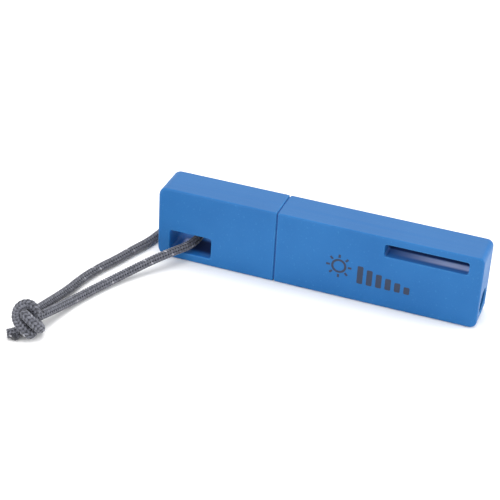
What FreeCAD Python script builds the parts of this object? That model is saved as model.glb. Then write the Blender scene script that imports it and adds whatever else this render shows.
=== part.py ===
import FreeCAD, Part
import math
import os

V = FreeCAD.Vector
os.makedirs("parts", exist_ok=True)

# Keychain flashlight: a slim box-shaped torch standing on its narrow long side.
# +X runs from the lanyard end to the lamp end, the front face looks to -Y, +Z is up.
# The origin is at the middle of the resting face. All sizes are in millimetres.

# ---- driving dimensions: the two plastic shells ----
body_length = 105.0       # the depth and height follow from the cells inside and the wall
tail_radius = 3.0         # corners of the long outline, seen from the front
lamp_radius = 2.2
edge_radius = 0.8         # rounding between the outline and the front and back faces
wall = 1.2                # shell thickness
end_wall = 1.5            # thickness of the lamp end
seam_from_tail = 39.6     # where the tail cap meets the housing
seam_gap = 0.4            # filled by the seam gasket
seam_lip_radius = 0.35    # rounding of both lips at the seam
least_corner = 0.6        # smallest corner inside the shells
gasket_inset = 0.45       # how far the seam gasket stays below the outer skin

# ---- plug joint between cap and housing ----
tongue_length = 5.0
tongue_thickness = 0.55
plug_clearance = 0.05     # all round the tongue
tongue_end_gap = 0.4

# ---- lanyard window in the cap, webbing slot in the housing ----
window_from_tail = 4.1
window_length = 14.1
window_bottom = 2.8
window_height = 7.3
window_corner = 0.9
window_lip = 0.4
slot_from_lamp_end = 4.5
slot_length = 26.2        # takes a 25 mm webbing
slot_height = 4.15
slot_roof = 2.5           # shell above the slot
slot_corner = 0.8
slot_lip = 0.35
slot_wall = 1.2

# ---- cells ----
cell_diameter = 10.5
cell_length = 44.5        # with its contact button
cell_button_diameter = 3.8
cell_button_length = 0.9
cell_sleeve_thickness = 0.1
cell_washer_diameter = 7.6
cell_washer_thickness = 0.25
cell_clearance = 0.1      # between a cell and the shell's bottom or top
cell_side_clearance = 0.05
can_rounding = 0.5
sleeve_setback = 0.6      # bare steel at each end of a cell
nub_rounding = 0.3

# ---- contacts ----
contact_plate = 0.3
spring_wire = 0.5
spring_large = 7.0        # outer diameter at the wide foot
spring_small = 4.6        # outer diameter at the cell
spring_turns = 3
rear_spring_length = 2.6
front_spring_length = 3.4
contact_gap = 0.05        # a touching face is left this far off
contact_width = 5.0
contact_reach = 3.4       # how far the front positive plate reaches above and below its cell's axis
tag_depth = 1.6           # how far a solder tag reaches onto the board
tag_low = 1.2
tag_slot_fit = 0.05
holder_thickness = 1.0
nub_plate_margin = 0.6    # contact left round a cell's button
foot_margin = 0.4
neck_share = 0.7          # width of the bridge's stem against its head
spring_plate_margin = 0.25

# ---- carrier ----
carrier_clearance = 0.1
bulkhead_thickness = 4.8
rail_depth = 3.6
rail_height = 2.0
groove_depth = 1.0
rib_thickness = 1.2       # the rib between the cells, at its thinnest
rib_reach = 28.0          # how far it runs back beside the cells
spring_pocket_fit = 0.5
rail_overrun = 1.0        # how far the rails run past the board
post_gap = 0.4            # between the board and the block that holds the led
lead_hole_y = 1.9
lead_hole_z = 1.2

# ---- lamp ----
lamp_bore = 8.0
lamp_bore_length = 7.8
lamp_lip = 0.35
lens_lip = 0.9            # how far the lens reaches past the bore all round
lens_floor_gap = 0.45     # between the lens and the shell's bottom wall
lens_thickness = 1.2
lens_seal_thickness = 0.5
lens_chamfer = 0.15
seal_fit = 0.1            # the seal stays this far off the lens's edge and the bore
nose_roof = 0.8           # plastic above the lens
reflector_length = 7.5
reflector_wall = 0.6
reflector_fit = 0.05
reflector_back_lip = 0.3
reflector_shoulder = 0.55 # share of its length at which it reaches its full width
led_diameter = 5.0
led_flange_diameter = 5.8
led_flange_thickness = 1.0
led_length = 8.6
led_fit = 0.06            # round the led in the carrier and the reflector
led_flat_lip = 0.1        # flange left below the barrel on its flat side
led_front_gap = 0.3
lead_size = 0.5
lead_reach = 2.05         # bare length between the board and the led
lead_on_board = 1.5       # soldered length

# ---- circuit board, switch and button ----
board_thickness = 1.6
board_fit = 0.05
switch_width = 6.0
switch_gap = 0.2          # between the switch and the led's leads
plunger_diameter = 3.4
plunger_rise = 0.7
plunger_depth = 1.6
plunger_fit = 0.06
plunger_floor_gap = 0.2
button_diameter = 7.0
button_flange_diameter = 8.4
button_flange = 0.6
button_travel = 0.4
button_recess = 0.05
button_fit = 0.06
button_dish_radius = 14.0
button_dish_depth = 0.35

# ---- screws ----
screw_diameter = 1.6
screw_head_diameter = 2.8
screw_head_height = 1.0
screw_cross_depth = 0.5
screw_cross_width = 0.45
screw_hole_fit = 0.03
carrier_screw_length = 6.0
holder_screw_length = 6.0
screw_rim_rounding = 0.3
screw_cross_reach = 0.3   # half a slot's length against the head's diameter
screw_pass_fit = 0.1      # round a screw in the part it holds down
screw_wall_gap = 0.3
boss_window_gap = 0.4
nub_block_gap = 0.2
boss_root = 0.2           # how far a boss runs into the wall beside it
boss_diameter = 4.0
boss_floor = 1.6          # plastic left beyond a screw's tip

# ---- lanyard ----
cord_diameter = 3.0
knot_diameter = 10.5
knot_height = 9.4
knot_rounding = 4.2
knot_floor_gap = 0.05

# ---- chips on the board's front side ----
chip_from_board_end = 4.6
chip_above_rail = 0.6
chip_size_x = 3.0
chip_size_z = 2.9
chip_near = 0.1           # off the board, on its legs
chip_far = 1.2
leg_start = 0.35
leg_pitch = 0.95
leg_width = 0.4
leg_length = 0.6
leg_height = 0.6
resistor_pitch = 2.2
resistor_length = 1.6
resistor_width = 0.9
resistor_height = 0.6
resistor_shift = -0.2
resistor_above = 4.6

# ---- help with cutting ----
over = 1.0                # how far a cutting shape runs past what it cuts
small_over = 0.1
through_y = 20.0
tiny = 1e-4

# ---- places worked out from the sizes above ----
tail_x = -body_length / 2
lamp_x = body_length / 2
body_depth = cell_diameter + 2 * (cell_side_clearance + wall)
body_height = 2 * (wall + cell_clearance + cell_diameter + carrier_clearance) + rib_thickness
half_depth = body_depth / 2
inner_y = half_depth - wall
seam_x = tail_x + seam_from_tail
cap_face_x = seam_x - seam_gap / 2
housing_face_x = seam_x + seam_gap / 2
cell_radius = cell_diameter / 2
low_cell_z = wall + cell_clearance + cell_radius
high_cell_z = body_height - low_cell_z
lens_diameter = lamp_bore + 2 * lens_lip
lamp_z = wall + lens_floor_gap + lens_diameter / 2
window_x0 = tail_x + window_from_tail
window_x1 = window_x0 + window_length
window_top = window_bottom + window_height
cap_floor_x = window_x1 + wall
cells_x0 = cap_floor_x + holder_thickness + contact_plate + rear_spring_length + contact_gap
cells_x1 = cells_x0 + cell_length
slot_top = body_height - slot_roof
slot_floor = slot_top - slot_height
nose_x = lamp_x - lamp_bore_length
lens_x = nose_x - lens_seal_thickness - lens_thickness
led_back_x = lens_x - led_front_gap - led_length
reflector_x = led_back_x + led_flange_thickness
bulkhead_x0 = cells_x1 + contact_gap + contact_plate
bulkhead_x1 = bulkhead_x0 + bulkhead_thickness
slot_x0 = max(lamp_x - slot_from_lamp_end - slot_length,
              bulkhead_x1 + carrier_clearance + slot_wall)
slot_x1 = slot_x0 + slot_length
board_z0 = wall + carrier_clearance + rail_height - groove_depth
board_z1 = slot_floor - slot_wall - carrier_clearance - rail_height + groove_depth
board_x0 = bulkhead_x1 + board_fit
board_x1 = led_back_x - lead_reach
button_x = board_x1 - lead_on_board - switch_gap - switch_width / 2
button_z = board_z0 + groove_depth + switch_gap + switch_width / 2
screw_z = body_height / 2
boss_length = carrier_screw_length - bulkhead_thickness + boss_floor
screw_y = inner_y - screw_head_diameter / 2 - screw_wall_gap
rib_half_depth = screw_y - screw_head_diameter / 2 - contact_gap
tag_y = screw_y - screw_diameter / 2 - screw_wall_gap
holder_screw_y = inner_y - boss_diameter / 2
holder_screw_z = window_top + wall + boss_diameter / 2 + boss_window_gap
nub_block_y = holder_screw_y - screw_head_diameter / 2 - nub_block_gap
switch_y0 = board_thickness / 2
switch_y1 = inner_y - button_flange - plunger_rise - 2 * contact_gap


def box(x0, x1, y0, y1, z0, z1):
    return Part.makeBox(x1 - x0, y1 - y0, z1 - z0, V(x0, y0, z0))


def rod_x(radius, x0, x1, y, z):
    return Part.makeCylinder(radius, x1 - x0, V(x0, y, z), V(1, 0, 0))


def rod_y(radius, y0, y1, x, z):
    return Part.makeCylinder(radius, y1 - y0, V(x, y0, z), V(0, 1, 0))


def rounded_xz(x0, x1, y0, y1, z0, z1, radius):
    # A block whose four edges along Y are rounded.
    block = box(x0, x1, y0, y1, z0, z1)
    edges = [e for e in block.Edges if abs(e.tangentAt(e.FirstParameter).y) > 0.99]
    return block.makeFillet(radius, edges)


def section_block(x0, x1, inset):
    # A block along X that follows the shell's section at this depth below its outer skin.
    block = box(x0, x1, inset - half_depth, half_depth - inset, inset, body_height - inset)
    edges = [e for e in block.Edges if abs(e.tangentAt(e.FirstParameter).x) > 0.99]
    return block.makeFillet(max(edge_radius - inset, least_corner), edges)


def edges_in_plane_y(shape, y, x0, x1, z0, z1):
    # The edges of an opening's mouth: flat at this y and inside the given rectangle.
    found = []
    for e in shape.Edges:
        b = e.BoundBox
        flat = abs(b.YMin - y) < tiny and abs(b.YMax - y) < tiny
        inside = b.XMin > x0 and b.XMax < x1 and b.ZMin > z0 and b.ZMax < z1
        if flat and inside:
            found.append(e)
    return found


def outer_edges_in_plane_x(shape, x):
    # The outer rim of a shell where it is cut square at this x.
    found = []
    for e in shape.Edges:
        b = e.BoundBox
        if abs(b.XMin - x) > tiny or abs(b.XMax - x) > tiny:
            continue
        on_side = abs(abs(b.YMin) - half_depth) < edge_radius + 1e-3
        on_side = on_side and abs(abs(b.YMax) - half_depth) < edge_radius + 1e-3
        reach_y = max(abs(b.YMin), abs(b.YMax)) > inner_y + 0.9 * (wall - tongue_thickness)
        reach_z = b.ZMin < 1e-3 or b.ZMax > body_height - 1e-3
        if (on_side and reach_y) or reach_z:
            found.append(e)
    return found


def revolve_x(points, x, z):
    # Turns a closed outline of (along, radius) points about an axis along X.
    wire = Part.makePolygon([V(x + a, 0, z + r) for a, r in points + points[:1]])
    return Part.Face(wire).revolve(V(x, 0, z), V(1, 0, 0), 360)


def outer_block():
    block = box(tail_x, lamp_x, -half_depth, half_depth, 0, body_height)
    corners = [e for e in block.Edges if abs(e.tangentAt(e.FirstParameter).y) > 0.99]
    block = block.makeFillet(tail_radius, [e for e in corners if e.BoundBox.XMax < 0])
    corners = [e for e in block.Edges
               if abs(e.tangentAt(e.FirstParameter).y) > 0.99 and e.BoundBox.XMin > lamp_x - tiny]
    block = block.makeFillet(lamp_radius, corners)
    rims = [e for e in block.Edges
            if e.BoundBox.YLength < tiny and abs(abs(e.BoundBox.YMin) - half_depth) < tiny]
    return block.makeFillet(edge_radius, rims)


def ring_x(x0, x1, outer_inset, inner_inset):
    # A ring that follows the shell's section between two depths below its skin.
    return section_block(x0, x1, outer_inset).cut(section_block(x0 - over, x1 + over, inner_inset))


def mouth_fillet(shape, radius, x0, x1, z0, z1):
    edges = []
    for y in (-half_depth, half_depth):
        edges += edges_in_plane_y(shape, y, x0, x1, z0, z1)
    return shape.makeFillet(radius, edges)


# ---- tail cap ----
def tail_cap():
    cap = outer_block().common(box(tail_x - over, cap_face_x, -through_y, through_y, -1, body_height + over))
    rim = outer_edges_in_plane_x(cap, cap_face_x)
    cap = cap.makeFillet(seam_lip_radius, rim)
    cap = cap.cut(section_block(cap_floor_x, seam_x + over, wall))
    # A pocket above the window keeps the plastic even in thickness.
    core = box(tail_x + tail_radius + wall, cap_floor_x + wall / 2, -inner_y, inner_y,
               window_top + wall, body_height - wall)
    cap = cap.cut(core)
    for side in (-1, 1):
        boss = rod_x(boss_diameter / 2, cap_floor_x - holder_screw_length - wall, cap_floor_x,
                     side * holder_screw_y, holder_screw_z)
        foot = box(cap_floor_x - holder_screw_length - wall, cap_floor_x,
                   min(side * holder_screw_y, side * inner_y) - boss_root * (side < 0),
                   max(side * holder_screw_y, side * inner_y) + boss_root * (side > 0),
                   holder_screw_z - boss_diameter / 2, holder_screw_z + boss_diameter / 2)
        web = box(cap_floor_x - holder_screw_length - wall, cap_floor_x,
                  side * holder_screw_y - boss_diameter / 2, side * holder_screw_y + boss_diameter / 2,
                  window_top + wall / 2, holder_screw_z)
        cap = cap.fuse([boss, foot, web])
    # The floor above the window runs on as the wall that closes the cap's hollow.
    cap = cap.removeSplitter()
    for side in (-1, 1):
        hole = rod_x(screw_diameter / 2 + screw_hole_fit, cap_floor_x - holder_screw_length,
                     cap_floor_x + over, side * holder_screw_y, holder_screw_z)
        cap = cap.cut(hole)
    tongue = ring_x(cap_face_x - over, housing_face_x + tongue_length,
                    wall - tongue_thickness, wall)
    cap = cap.fuse(tongue).removeSplitter()
    window = rounded_xz(window_x0, window_x1, -through_y, through_y, window_bottom, window_top, window_corner)
    cap = cap.cut(window)
    cap = mouth_fillet(cap, window_lip, window_x0 - small_over, window_x1 + small_over,
                       window_bottom - small_over, window_top + small_over)
    return cap


def seam_gasket():
    return ring_x(cap_face_x, housing_face_x, gasket_inset, wall - tongue_thickness)


# ---- front housing ----
def front_housing():
    shell = outer_block().common(box(housing_face_x, lamp_x + over, -through_y, through_y,
                                     -over, body_height + over))
    rim = outer_edges_in_plane_x(shell, housing_face_x)
    shell = shell.makeFillet(seam_lip_radius, rim)
    hollow = section_block(seam_x - over, lamp_x - end_wall, wall)
    nose = box(nose_x, lamp_x, -half_depth, half_depth, 0, lamp_z + lens_diameter / 2 + nose_roof)
    collar = box(slot_x0 - slot_wall, slot_x1 + slot_wall, -half_depth, half_depth,
                 slot_floor - slot_wall, body_height)
    hollow = hollow.cut(nose).cut(collar)
    for side in (-1, 1):
        y0, y1 = sorted((side * (rail_depth / 2 + carrier_clearance), side * half_depth))
        boss = box(bulkhead_x1 + screw_pass_fit, bulkhead_x1 + boss_length, y0, y1,
                   screw_z - boss_diameter / 2, screw_z + boss_diameter / 2)
        hollow = hollow.cut(boss)
    shell = shell.cut(hollow)
    # The mouth is thinned from inside so that the cap's tongue slips in.
    shell = shell.cut(section_block(seam_x - over, housing_face_x + tongue_length + tongue_end_gap,
                                    wall - tongue_thickness - plug_clearance))
    for side in (-1, 1):
        shell = shell.cut(rod_x(screw_diameter / 2 + screw_hole_fit, bulkhead_x1 - over,
                                bulkhead_x1 + boss_length + over, side * screw_y, screw_z))
    shell = shell.cut(rod_x(lamp_bore / 2, nose_x - over, lamp_x + over, 0, lamp_z))
    shell = shell.cut(rod_x(lens_diameter / 2 + led_fit, reflector_x, nose_x, 0, lamp_z))
    shell = shell.cut(rod_y(button_diameter / 2 + button_fit, 0, half_depth + over, button_x, button_z))
    slot = rounded_xz(slot_x0, slot_x1, -through_y, through_y, slot_floor, slot_top, slot_corner)
    shell = shell.cut(slot)
    shell = mouth_fillet(shell, slot_lip, slot_x0 - small_over, slot_x1 + small_over,
                         slot_floor - small_over, slot_top + small_over)
    # The lamp hole's rim is a short cone, because it runs into the rounded corner below it.
    rim_cone = Part.makeCone(lamp_bore / 2, lamp_bore / 2 + 2 * lamp_lip, 2 * lamp_lip,
                             V(lamp_x - lamp_lip, 0, lamp_z), V(1, 0, 0))
    return shell.cut(rim_cone)


# ---- cells ----
def cell_parts(z, nub_to_lamp):
    can_radius = cell_radius - cell_sleeve_thickness
    can_length = cell_length - cell_button_length
    can_x = cells_x0 if nub_to_lamp else cells_x0 + cell_button_length
    can = rod_x(can_radius, can_x, can_x + can_length, 0, z)
    end_edges = [e for e in can.Edges if e.BoundBox.XLength < tiny]
    can = can.makeFillet(can_rounding, end_edges)
    sleeve = rod_x(cell_radius, can_x + sleeve_setback, can_x + can_length - sleeve_setback, 0, z)
    sleeve = sleeve.cut(rod_x(can_radius, can_x, can_x + can_length, 0, z))
    if nub_to_lamp:
        washer_x0 = can_x + can_length
        nub_x0 = washer_x0 + cell_washer_thickness
        nub_x1 = cells_x1
        washer_x1 = nub_x0
    else:
        washer_x1 = can_x
        washer_x0 = washer_x1 - cell_washer_thickness
        nub_x1 = washer_x0
        nub_x0 = cells_x0
    washer = rod_x(cell_washer_diameter / 2, washer_x0, washer_x1, 0, z)
    nub = rod_x(cell_button_diameter / 2, nub_x0, nub_x1, 0, z)
    tip = cells_x1 if nub_to_lamp else cells_x0
    tip_edges = [e for e in nub.Edges if e.BoundBox.XLength < tiny and abs(e.BoundBox.XMin - tip) < tiny]
    nub = nub.makeFillet(nub_rounding, tip_edges)
    return can, sleeve, washer, nub


# ---- contacts ----
def coil_spring(x_foot, x_top, z):
    # A cone-shaped compression spring along X: the wire's centre runs in half turns.
    length = abs(x_top - x_foot) - spring_wire
    direction = 1 if x_top > x_foot else -1
    r0 = (spring_large - spring_wire) / 2
    r1 = (spring_small - spring_wire) / 2
    angle = math.degrees(math.atan((r1 - r0) / length))
    helix = Part.makeHelix(length / spring_turns, length, r0, angle)
    section = Part.Wire(Part.makeCircle(spring_wire / 2, V(r0, 0, 0), V(0, 1, 0)))
    coil = Part.Wire(helix.Edges).makePipeShell([section], True, True)
    coil.rotate(V(0, 0, 0), V(0, 1, 0), 90 * direction)
    coil.translate(V(x_foot + direction * spring_wire / 2, 0, z))
    return coil


def rear_contact_holder():
    plate = section_block(cap_floor_x, cap_floor_x + holder_thickness, wall + carrier_clearance)
    block = box(cap_floor_x, cells_x0 - contact_gap - contact_plate, -nub_block_y, nub_block_y,
                high_cell_z - cell_button_diameter / 2 - nub_plate_margin,
                high_cell_z + cell_button_diameter / 2 + nub_plate_margin)
    holder = plate.fuse(block).removeSplitter()
    for side in (-1, 1):
        holder = holder.cut(rod_x(screw_diameter / 2 + screw_pass_fit, cap_floor_x - over, cells_x0,
                                  side * holder_screw_y, holder_screw_z))
    return holder


def rear_bridge_contact():
    # One strip bent in a step: low under the spring, high under the other cell's button.
    low = cap_floor_x + holder_thickness
    high = cells_x0 - contact_gap - contact_plate
    step = high_cell_z - cell_button_diameter / 2 - nub_plate_margin
    z0 = low_cell_z - spring_large / 2 - foot_margin
    z1 = high_cell_z + cell_button_diameter / 2
    neck = neck_share * nub_block_y
    foot = box(low, low + contact_plate, -spring_large / 2, spring_large / 2, z0,
               low_cell_z + spring_large / 2)
    stem = box(low, low + contact_plate, -neck, neck, low_cell_z, step)
    riser = box(low, high + contact_plate, -neck, neck, step - contact_plate, step)
    head = box(high, high + contact_plate, -nub_block_y, nub_block_y, step - contact_plate, z1)
    return foot.fuse([stem, riser, head]).removeSplitter()


def front_positive_contact():
    # A plate behind the lower cell with a solder tag that reaches the board.
    plate = box(cells_x1 + contact_gap, bulkhead_x0, -contact_width / 2, contact_width / 2,
                low_cell_z - contact_reach, low_cell_z + contact_reach)
    tag = box(cells_x1 + contact_gap, board_x0 + tag_depth, board_thickness / 2,
              board_thickness / 2 + contact_plate, low_cell_z + tag_low, low_cell_z + contact_reach)
    return plate.fuse(tag).removeSplitter()


def front_negative_contact():
    x0 = bulkhead_x0 + front_spring_length - contact_plate
    plate = rod_x(spring_large / 2 + spring_plate_margin, x0, x0 + contact_plate, 0, high_cell_z)
    drop = box(x0, x0 + contact_plate, -tag_y, -board_thickness / 2, board_z1 - tag_depth, high_cell_z)
    tag = box(x0, board_x0 + tag_depth, -contact_plate - board_thickness / 2, -board_thickness / 2,
              board_z1 - 2 * tag_depth, board_z1 - tag_low)
    return plate.fuse([drop, tag]).removeSplitter()


# ---- carrier ----
def carrier():
    z0 = wall + carrier_clearance
    body = section_block(bulkhead_x0, bulkhead_x1, wall + carrier_clearance)
    recess = rod_x(spring_large / 2 + spring_pocket_fit, bulkhead_x0 - over,
                   bulkhead_x0 + front_spring_length, 0, high_cell_z)
    body = body.cut(recess)
    # The rib between the cells has a hollow on each side that follows their round cans.
    rib = box(bulkhead_x0 - rib_reach, bulkhead_x0, -rib_half_depth, rib_half_depth,
              low_cell_z, high_cell_z)
    for z in (low_cell_z, high_cell_z):
        rib = rib.cut(rod_x(cell_radius + carrier_clearance, cells_x0, cells_x1 + over, 0, z))
    rail_x1 = board_x1 + rail_overrun
    low_rail = box(bulkhead_x1, rail_x1, -rail_depth / 2, rail_depth / 2, z0, z0 + rail_height)
    high_rail = box(bulkhead_x1, rail_x1, -rail_depth / 2, rail_depth / 2,
                    board_z1 - groove_depth, board_z1 - groove_depth + rail_height)
    # The ring round the led stays below the button's pressed flange.
    ring_y = inner_y - contact_gap - button_flange - button_travel - carrier_clearance
    post = box(board_x1 + post_gap, reflector_x, -ring_y, ring_y, z0,
               board_z1 - groove_depth + rail_height)
    body = body.fuse([rib, low_rail, high_rail, post]).removeSplitter()
    groove = box(bulkhead_x1, board_x1 + board_fit, -board_thickness / 2 - board_fit,
                 board_thickness / 2 + board_fit, board_z0 - board_fit, board_z1 + board_fit)
    body = body.cut(groove)
    body = body.cut(rod_x(led_flange_diameter / 2 + led_fit, led_back_x, led_back_x + through_y, 0, lamp_z))
    lead_hole = box(board_x1 - over, led_back_x + over, -lead_hole_y, lead_hole_y,
                    lamp_z - lead_hole_z, lamp_z + lead_hole_z)
    body = body.cut(lead_hole)
    plus_tag = box(bulkhead_x0 - over, bulkhead_x1 + over, board_thickness / 2 - tag_slot_fit,
                   board_thickness / 2 + contact_plate + tag_slot_fit,
                   low_cell_z + tag_low - tag_slot_fit, low_cell_z + contact_reach + tag_slot_fit)
    minus_x = bulkhead_x0 + front_spring_length - contact_plate
    minus_tag = box(minus_x - tag_slot_fit, bulkhead_x1 + over, -tag_y - tag_slot_fit,
                    -board_thickness / 2 + tag_slot_fit,
                    board_z1 - 2 * tag_depth - tag_slot_fit, high_cell_z)
    body = body.cut(plus_tag).cut(minus_tag)
    for side in (-1, 1):
        body = body.cut(rod_x(screw_diameter / 2 + screw_pass_fit, bulkhead_x0 - over, bulkhead_x1 + over,
                              side * screw_y, screw_z))
    # Room for the wall under the webbing slot.
    body = body.cut(box(slot_x0 - slot_wall - carrier_clearance, lamp_x, -half_depth, half_depth,
                        slot_floor - slot_wall - carrier_clearance, body_height))
    return body


# ---- lamp ----
def reflector():
    outer = lens_diameter / 2 - reflector_fit
    back = led_flange_diameter / 2 + reflector_back_lip
    throat = led_diameter / 2 + led_fit
    mouth = outer - reflector_wall
    # The bowl is a parabola: its radius grows with the square root of the distance.
    steps = 6
    bowl = []
    for i in range(steps + 1):
        share = i / steps
        bowl.append((reflector_length * share, throat + (mouth - throat) * math.sqrt(share)))
    outline = [(0, back), (reflector_length * reflector_shoulder, outer), (reflector_length, outer)]
    return revolve_x(bowl[:1] + outline + bowl[:0:-1], reflector_x, lamp_z)


def led_dome():
    radius = led_diameter / 2
    flange = rod_x(led_flange_diameter / 2, led_back_x, led_back_x + led_flange_thickness, 0, lamp_z)
    below = box(led_back_x - over, led_back_x + led_flange_thickness + over, -through_y, through_y,
                -through_y, lamp_z - radius - led_flat_lip)
    flange = flange.cut(below)
    barrel = rod_x(radius, led_back_x, led_back_x + led_length - radius, 0, lamp_z)
    dome = Part.makeSphere(radius, V(led_back_x + led_length - radius, 0, lamp_z))
    return flange.fuse([barrel, dome]).removeSplitter()


def led_leads():
    y = board_thickness / 2
    leads = []
    for side in (-1, 1):
        y0, y1 = sorted((side * y, side * (y + lead_size)))
        leads.append(box(board_x1 - lead_on_board, led_back_x, y0, y1, lamp_z - lead_size / 2,
                         lamp_z + lead_size / 2))
    return Part.makeCompound(leads)


def lens():
    disc = rod_x(lens_diameter / 2, lens_x, lens_x + lens_thickness, 0, lamp_z)
    return disc.makeChamfer(lens_chamfer, [e for e in disc.Edges if e.BoundBox.XLength < tiny])


def lens_seal():
    x0 = lens_x + lens_thickness
    ring = rod_x(lens_diameter / 2 - seal_fit, x0, nose_x, 0, lamp_z)
    return ring.cut(rod_x(lamp_bore / 2 + seal_fit, x0 - over, nose_x + over, 0, lamp_z))


# ---- board ----
def circuit_board():
    return box(board_x0, board_x1, -board_thickness / 2, board_thickness / 2, board_z0, board_z1)


def chip_parts():
    y = -board_thickness / 2
    chip_x = board_x0 + chip_from_board_end
    chip_z = board_z0 + groove_depth + chip_above_rail
    chip = box(chip_x, chip_x + chip_size_x, y - chip_far, y - chip_near, chip_z, chip_z + chip_size_z)
    legs = []
    for i in range(3):
        leg_x = chip_x + leg_start + i * leg_pitch
        for z0 in (chip_z - leg_length, chip_z + chip_size_z):
            z1 = z0 + leg_length
            legs.append(box(leg_x, leg_x + leg_width, y - leg_height, y, z0, z1))
    small = []
    for i in range(2):
        x0 = chip_x + resistor_shift + i * resistor_pitch
        small.append(box(x0, x0 + resistor_length, y - resistor_height, y,
                         chip_z + resistor_above, chip_z + resistor_above + resistor_width))
    return chip, Part.makeCompound(legs), Part.makeCompound(small)


def switch_body():
    half = switch_width / 2
    body = box(button_x - half, button_x + half, switch_y0, switch_y1, button_z - half,
               button_z + half)
    hole_y = switch_y1 - plunger_depth - button_travel - plunger_floor_gap
    hole = rod_y(plunger_diameter / 2 + plunger_fit, hole_y, switch_y1 + over, button_x, button_z)
    return body.cut(hole)


def switch_plunger():
    stem = rod_y(plunger_diameter / 2, switch_y1 - plunger_depth, switch_y1 + plunger_rise,
                 button_x, button_z)
    return stem


def push_button():
    top = half_depth - button_recess
    flange_top = inner_y - contact_gap
    flange = rod_y(button_flange_diameter / 2, switch_y1 + plunger_rise + contact_gap, flange_top,
                   button_x, button_z)
    stem = rod_y(button_diameter / 2, switch_y1 + plunger_rise + contact_gap, top, button_x, button_z)
    button = flange.fuse(stem).removeSplitter()
    dish_y = top + button_dish_radius - button_dish_depth
    dish = Part.makeSphere(button_dish_radius, V(button_x, dish_y, button_z))
    return button.cut(dish)


# ---- screws ----
def screw_x(x_seat, way, y, z, length):
    # A screw along X with its head on the seat; way is +1 or -1, where its tip points.
    x_top = x_seat - way * screw_head_height
    head = rod_x(screw_head_diameter / 2, min(x_seat, x_top), max(x_seat, x_top), y, z)
    rim = [e for e in head.Edges
           if e.BoundBox.XLength < tiny and abs(e.BoundBox.XMin - x_top) < tiny]
    head = head.makeFillet(screw_rim_rounding, rim)
    x_tip = x_seat + way * length
    shaft = rod_x(screw_diameter / 2, min(x_seat, x_tip), max(x_seat, x_tip), y, z)
    screw = head.fuse(shaft).removeSplitter()
    cross_x = sorted((x_top - way, x_top + way * screw_cross_depth))
    half_long = screw_cross_reach * screw_head_diameter
    half_wide = screw_cross_width / 2
    for half_y, half_z in ((half_wide, half_long), (half_long, half_wide)):
        screw = screw.cut(box(cross_x[0], cross_x[1], y - half_y, y + half_y, z - half_z, z + half_z))
    return screw


def carrier_screws():
    return Part.makeCompound([screw_x(bulkhead_x0, 1, side * screw_y, screw_z, carrier_screw_length)
                              for side in (-1, 1)])


def holder_screws():
    x = cap_floor_x + holder_thickness
    return Part.makeCompound([screw_x(x, -1, side * holder_screw_y, holder_screw_z,
                                      holder_screw_length) for side in (-1, 1)])


# ---- lanyard: the points of the cord's route, chosen by hand, from the knot and back to it ----
knot_centre = V(-70.0, -62.6, knot_height / 2 + knot_floor_gap)
cord_route = [
    V(-67.7, -58.4, 4.3),
    V(-66.4, -51.8, 2.9),
    V(-64.2, -43.6, 1.8),
    V(-60.9, -34.6, 1.6),
    V(-56.6, -25.6, 2.0),
    V(-51.0, -17.4, 3.7),
    V(-46.2, -11.2, 4.9),
    V(-41.8, -4.4, 5.1),
    V(-41.1, 3.0, 5.0),
    V(-42.4, 10.4, 4.9),
    V(-47.6, 14.0, 3.8),
    V(-53.4, 11.4, 2.4),
    V(-55.6, 4.4, 1.7),
    V(-57.0, -3.2, 1.6),
    V(-59.6, -9.7, 1.65),
    V(-61.9, -16.8, 1.6),
    V(-64.9, -23.8, 1.6),
    V(-67.2, -31.4, 1.6),
    V(-68.5, -40.4, 1.7),
    V(-69.9, -49.4, 2.8),
    V(-70.4, -58.2, 4.7),
]


def cord_tube(points, label):
    # Straight runs joined by arcs that touch them; each arc is as large as its runs allow.
    tangents = []
    for i in range(1, len(points) - 1):
        a = points[i - 1] - points[i]
        b = points[i + 1] - points[i]
        turn = math.pi - a.getAngle(b)
        reach = 0.45 * min(a.Length, b.Length)
        radius = reach / math.tan(turn / 2)
        print(label, "arc", i, "turn", round(math.degrees(turn), 1), "radius", round(radius, 1),
              "runs", round(a.Length, 1), round(b.Length, 1))
        a.normalize()
        b.normalize()
        start = points[i] + a * reach
        end = points[i] + b * reach
        middle_way = a + b
        middle_way.normalize()
        centre_distance = radius / math.cos(turn / 2)
        middle = points[i] + middle_way * (centre_distance - radius)
        tangents.append((start, middle, end))
    edges = []
    here = points[0]
    for start, middle, end in tangents:
        edges.append(Part.LineSegment(here, start).toShape())
        edges.append(Part.Arc(start, middle, end).toShape())
        here = end
    edges.append(Part.LineSegment(here, points[-1]).toShape())
    path = Part.Wire(edges)
    first = points[1] - points[0]
    section = Part.Wire(Part.makeCircle(cord_diameter / 2, points[0], first))
    tube = path.makePipeShell([section], True, False)
    expected = path.Length * math.pi * cord_diameter ** 2 / 4
    print(label, "length", round(path.Length, 2), "volume ratio", round(tube.Volume / expected, 4),
          "valid", tube.isValid(), "lowest", round(tube.BoundBox.ZMin, 3))
    return tube


def lanyard_knot():
    low = knot_centre.z - knot_height / 2
    puck = Part.makeCylinder(knot_diameter / 2, knot_height, V(knot_centre.x, knot_centre.y, low))
    return puck.makeFillet(knot_rounding, [e for e in puck.Edges if e.BoundBox.ZLength < tiny])


tail_routes = [
    [V(-74.1, -62.9, 2.1), V(-76.6, -63.6, 1.8)],
    [V(-72.7, -65.6, 2.1), V(-74.6, -67.3, 1.8)],
]


def lanyard_tails():
    tails = []
    for start, end in tail_routes:
        way = end - start
        tails.append(Part.makeCylinder(cord_diameter / 2, way.Length, start, way))
    return Part.makeCompound(tails)


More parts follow.
